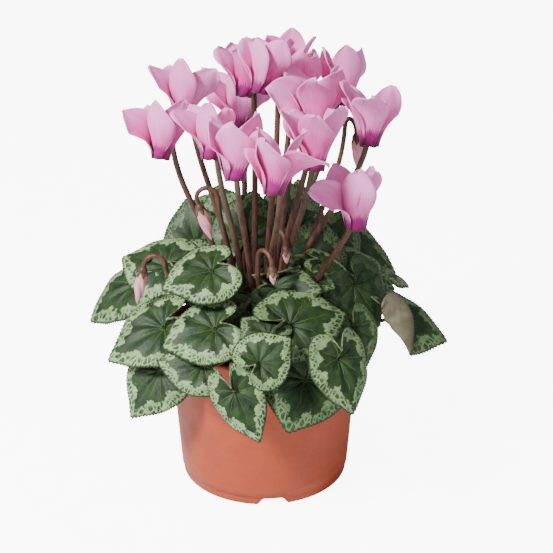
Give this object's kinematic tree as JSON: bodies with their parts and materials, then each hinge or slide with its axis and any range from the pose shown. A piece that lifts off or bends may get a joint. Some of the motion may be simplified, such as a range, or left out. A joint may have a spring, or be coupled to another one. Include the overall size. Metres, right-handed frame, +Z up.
{
  "type": "potted cyclamen",
  "caption": "House plant in a tapered terracotta-coloured nursery pot: marbled heart-shaped leaves and upswept pink flowers on bare stalks.",
  "frame": {"origin": "middle of the pot's foot, on the surface that the pot stands on, at the bottom centre of the whole plant's box", "axes": "+Z up along the pot's axis, -Y the plant's front, +X to the right seen from the front"},
  "size_m": [0.2288, 0.1936, 0.2817],
  "materials": {
    "pot": "terracotta-coloured nursery plastic, satin",
    "soil": "dark peat potting mix, matte",
    "tuber": "corky brown skin, matte",
    "leaf": "dark green with a silver-green marbled band, waxy satin",
    "stalk": "reddish brown, smooth satin",
    "petal": "pale to mid pink with a magenta throat, soft matte",
    "bud": "pale rose bud with a brown-green cup, soft matte"
  },
  "bodies": {
    "root": {"bud_01": "bud", "bud_02": "bud", "bud_03": "bud", "flower_01_petals": "petal", "flower_01_stalk": "stalk", "flower_02_petals": "petal", "flower_02_stalk": "stalk", "flower_03_petals": "petal", "flower_03_stalk": "stalk", "flower_04_petals": "petal", "flower_04_stalk": "stalk", "flower_05_petals": "petal", "flower_05_stalk": "stalk", "flower_06_petals": "petal", "flower_06_stalk": "stalk", "flower_07_petals": "petal", "flower_07_stalk": "stalk", "flower_09_petals": "petal", "flower_09_stalk": "stalk", "flower_10_petals": "petal", "flower_10_stalk": "stalk", "flower_11_petals": "petal", "flower_11_stalk": "stalk", "flower_12_petals": "petal", "flower_12_stalk": "stalk", "flower_13_petals": "petal", "flower_13_stalk": "stalk", "flower_14_petals": "petal", "flower_14_stalk": "stalk", "flower_15_petals": "petal", "flower_15_stalk": "stalk", "flower_16_petals": "petal", "flower_16_stalk": "stalk", "leaf_01": "leaf", "leaf_02": "leaf", "leaf_03": "leaf", "leaf_04": "leaf", "leaf_05": "leaf", "leaf_06": "leaf", "leaf_07": "leaf", "leaf_08": "leaf", "leaf_09": "leaf", "leaf_10": "leaf", "leaf_11": "leaf", "leaf_12": "leaf", "leaf_14": "leaf", "leaf_15": "leaf", "leaf_16": "leaf", "leaf_18": "leaf", "leaf_19": "leaf", "leaf_20": "leaf", "leaf_23": "leaf", "leaf_25": "leaf", "leaf_31": "leaf", "leaf_32": "leaf", "leaf_33": "leaf", "leaf_34": "leaf", "pot": "pot", "soil": "soil", "tuber": "tuber"}
  },
  "joints": []
}
